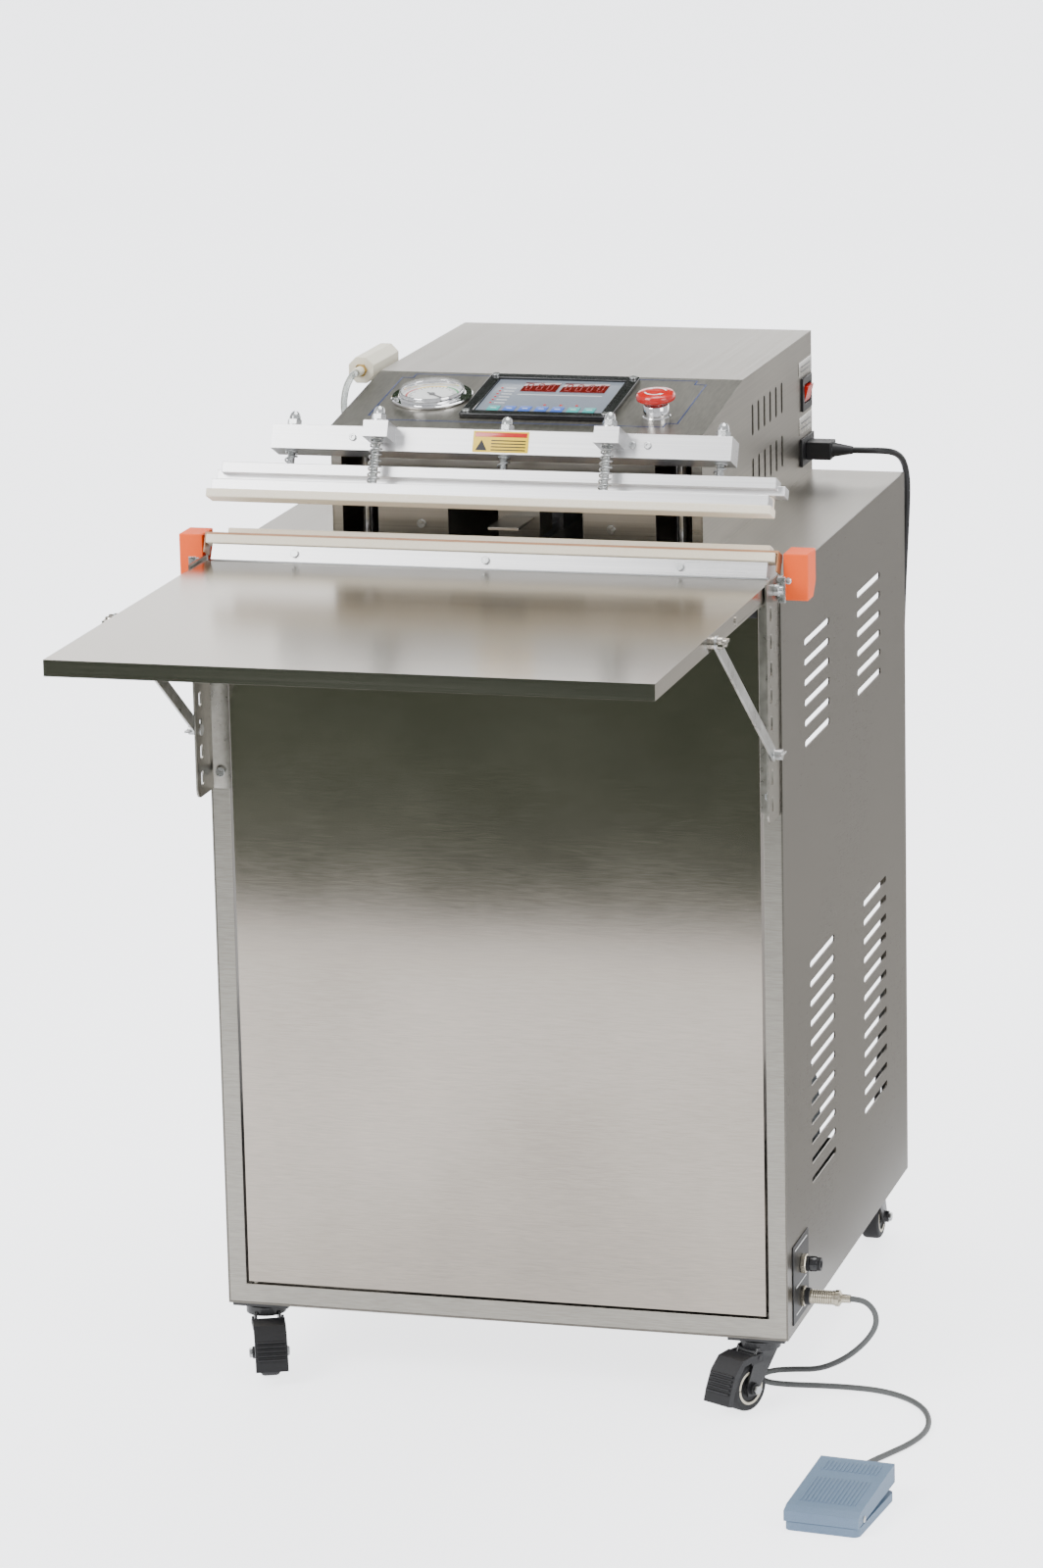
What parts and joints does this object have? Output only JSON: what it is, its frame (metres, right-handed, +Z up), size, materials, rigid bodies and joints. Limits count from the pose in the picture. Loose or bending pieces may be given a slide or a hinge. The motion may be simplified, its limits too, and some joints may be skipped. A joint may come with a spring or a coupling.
{
  "type": "vacuum chamber sealer",
  "caption": "Floor-standing external vacuum sealer on a wheeled steel cabinet, with a pneumatic pressing beam over a heated jaw, a retracting nozzle, a folding table and a foot pedal.",
  "frame": {"origin": "on the floor, at the middle of the footprint of the machine with its foot pedal, cords left out", "axes": "+Z up, +X to the operator's right when facing the machine's front, +Y from the front to the back"},
  "size_m": [0.7838, 1.245, 1.0309],
  "materials": {
    "stainless": "brushed",
    "zinc": "satin zinc",
    "chromed": "polished",
    "bright_aluminium": "anodised",
    "cream_silicone": "smooth",
    "heater_cloth": "coated weave",
    "orange_moulding": "moulded",
    "black_moulding": "moulded",
    "red_moulding": "gloss",
    "blue_grey_moulding": "fine texture",
    "cream_moulding": "moulded",
    "grey_jacket": "smooth",
    "black_jacket": "smooth",
    "clear_tube": "clear",
    "clear_lens": "clear",
    "grey_tyre": "smooth",
    "painted_pump": "painted",
    "wound_core": "varnished"
  },
  "bodies": {
    "machine": {"left_side_panel": "stainless", "right_side_panel": "stainless", "deck_panel": "stainless", "base_panel": "stainless", "front_frame": "stainless", "rear_frame": "stainless", "slotted_brackets": "zinc", "head_shell": "stainless", "head_front_plate": "stainless", "gauge_case": "chromed", "gauge_lens": "clear_lens", "display_unit": "black_moulding", "estop_collar": "chromed", "switch_and_inlet": "black_moulding", "air_cylinders": "bright_aluminium", "lower_jaw": "bright_aluminium", "lower_jaw_seals": "cream_silicone", "heater_cover": "heater_cloth", "end_caps": "orange_moulding", "machine_screws": "zinc", "filter_block": "cream_moulding", "filter_tube": "clear_tube", "port_plate": "black_moulding", "vacuum_pump": "painted_pump", "electrical_unit": "wound_core", "caster_mounts": "zinc", "pedal_base": "blue_grey_moulding", "pedal_cord": "grey_jacket", "pedal_connector": "chromed", "power_connector": "black_moulding", "power_cord": "black_jacket", "power_cord_coil": "black_jacket", "mains_plug": "black_moulding"},
    "door": {"front_door": "stainless"},
    "table": {"table_panel": "stainless"},
    "left_strut_body": {"left_strut": "zinc"},
    "right_strut_body": {"right_strut": "zinc"},
    "front_left_swivel": {"front_left_fork": "zinc"},
    "front_right_swivel": {"front_right_fork": "zinc"},
    "front_left_wheel_body": {"front_left_wheel": "grey_tyre"},
    "front_right_wheel_body": {"front_right_wheel": "grey_tyre"},
    "rear_left_wheel_body": {"rear_left_wheel": "grey_tyre"},
    "rear_right_wheel_body": {"rear_right_wheel": "grey_tyre"},
    "front_left_lever": {"front_left_brake": "black_moulding"},
    "front_right_lever": {"front_right_brake": "black_moulding"},
    "press": {"press_beam": "bright_aluminium", "press_rods": "chromed", "rear_springs": "zinc", "front_springs": "zinc"},
    "rear_jaw": {"rear_jaw_bar": "bright_aluminium", "rear_jaw_seal": "cream_silicone", "rear_jaw_bolts": "zinc"},
    "front_jaw": {"front_jaw_bar": "bright_aluminium", "front_jaw_strip": "cream_silicone", "front_jaw_bolts": "zinc"},
    "nozzle_body": {"nozzle": "stainless"},
    "needle": {"gauge_needle": "black_moulding"},
    "rocker": {"rocker_switch": "red_moulding"},
    "estop": {"estop_head": "red_moulding"},
    "treadle": {"pedal_treadle": "blue_grey_moulding"}
  },
  "joints": [
    {"name": "door_swing", "type": "hinge", "parent": "machine", "child": "door", "pos_m": [-0.33593, -0.051, 0.47], "axis": [0, 0, 1], "range_deg": [-90, 0]},
    {"name": "table_fold", "type": "hinge", "parent": "machine", "child": "table", "pos_m": [-0.06493, -0.075, 0.8615], "axis": [1, 0, 0], "range_deg": [0, 85]},
    {"name": "left_strut_turn", "type": "hinge", "parent": "table", "child": "left_strut_body", "pos_m": [-0.36493, -0.325, 0.8615], "axis": [1, 0, 0], "range_deg": [-140, 0]},
    {"name": "right_strut_turn", "type": "hinge", "parent": "table", "child": "right_strut_body", "pos_m": [0.23507, -0.325, 0.8615], "axis": [1, 0, 0], "range_deg": [-140, 0]},
    {"name": "front_left_swivel_turn", "type": "hinge", "parent": "machine", "child": "front_left_swivel", "pos_m": [-0.33093, -0.036, 0.066], "axis": [0, 0, 1], "continuous": true},
    {"name": "front_right_swivel_turn", "type": "hinge", "parent": "machine", "child": "front_right_swivel", "pos_m": [0.20107, -0.036, 0.066], "axis": [0, 0, 1], "continuous": true},
    {"name": "front_left_roll", "type": "hinge", "parent": "front_left_swivel", "child": "front_left_wheel_body", "pos_m": [-0.32081, -0.06103, 0.025], "axis": [0.9272, 0.3746, 0], "continuous": true},
    {"name": "front_right_roll", "type": "hinge", "parent": "front_right_swivel", "child": "front_right_wheel_body", "pos_m": [0.1884, -0.05984, 0.025], "axis": [0.8829, -0.4695, 0], "continuous": true},
    {"name": "rear_left_roll", "type": "hinge", "parent": "machine", "child": "rear_left_wheel_body", "pos_m": [-0.33093, 0.517, 0.025], "axis": [1, 0, 0], "continuous": true},
    {"name": "rear_right_roll", "type": "hinge", "parent": "machine", "child": "rear_right_wheel_body", "pos_m": [0.20107, 0.517, 0.025], "axis": [1, 0, 0], "continuous": true},
    {"name": "front_left_brake_press", "type": "hinge", "parent": "front_left_swivel", "child": "front_left_lever", "pos_m": [-0.32343, -0.05454, 0.057], "axis": [0.9272, 0.3746, 0], "range_deg": [0, 8]},
    {"name": "front_right_brake_press", "type": "hinge", "parent": "front_right_swivel", "child": "front_right_lever", "pos_m": [0.19168, -0.05366, 0.057], "axis": [0.8829, -0.4695, 0], "range_deg": [0, 8]},
    {"name": "beam_press", "type": "slide", "parent": "machine", "child": "press", "axis": [0, 0, -1], "range_m": [0, 0.033]},
    {"name": "rear_jaw_float", "type": "slide", "parent": "press", "child": "rear_jaw", "axis": [0, 0.4067, 0.9135], "range_m": [0, 0.005], "stiffness_N_per_m": 3000, "springref_m": -0.006, "deforming": ["rear_springs"]},
    {"name": "front_jaw_float", "type": "slide", "parent": "press", "child": "front_jaw", "axis": [0, 0.4067, 0.9135], "range_m": [0, 0.008], "stiffness_N_per_m": 2000, "springref_m": -0.008, "deforming": ["front_springs"]},
    {"name": "nozzle_slide", "type": "slide", "parent": "machine", "child": "nozzle_body", "axis": [0, 1, 0], "range_m": [0, 0.06]},
    {"name": "gauge_needle_turn", "type": "hinge", "parent": "machine", "child": "needle", "pos_m": [-0.17663, 0.13816, 1.01063], "axis": [0, -0.1483, 0.9889], "range_deg": [0, 260], "stiffness_Nm_per_rad": 0.002, "springref_deg": -2.86},
    {"name": "rocker_tilt", "type": "hinge", "parent": "machine", "child": "rocker", "pos_m": [0.12907, 0.513, 0.955], "axis": [0, 1, 0], "range_deg": [-12, 0]},
    {"name": "estop_push", "type": "slide", "parent": "machine", "child": "estop", "axis": [0, 0.1483, -0.9889], "range_m": [0, 0.004], "stiffness_N_per_m": 1000, "springref_m": -0.003},
    {"name": "treadle_press", "type": "hinge", "parent": "machine", "child": "treadle", "pos_m": [0.34389, -0.37178, 0.014], "axis": [-0.9945, 0.1045, 0], "range_deg": [0, 3.5], "stiffness_Nm_per_rad": 4, "springref_deg": -4.58}
  ],
  "couplings": [
    {"joint": "left_strut_turn", "follows": "table_fold", "ratio": -1.635},
    {"joint": "right_strut_turn", "follows": "table_fold", "ratio": -1.635}
  ]
}
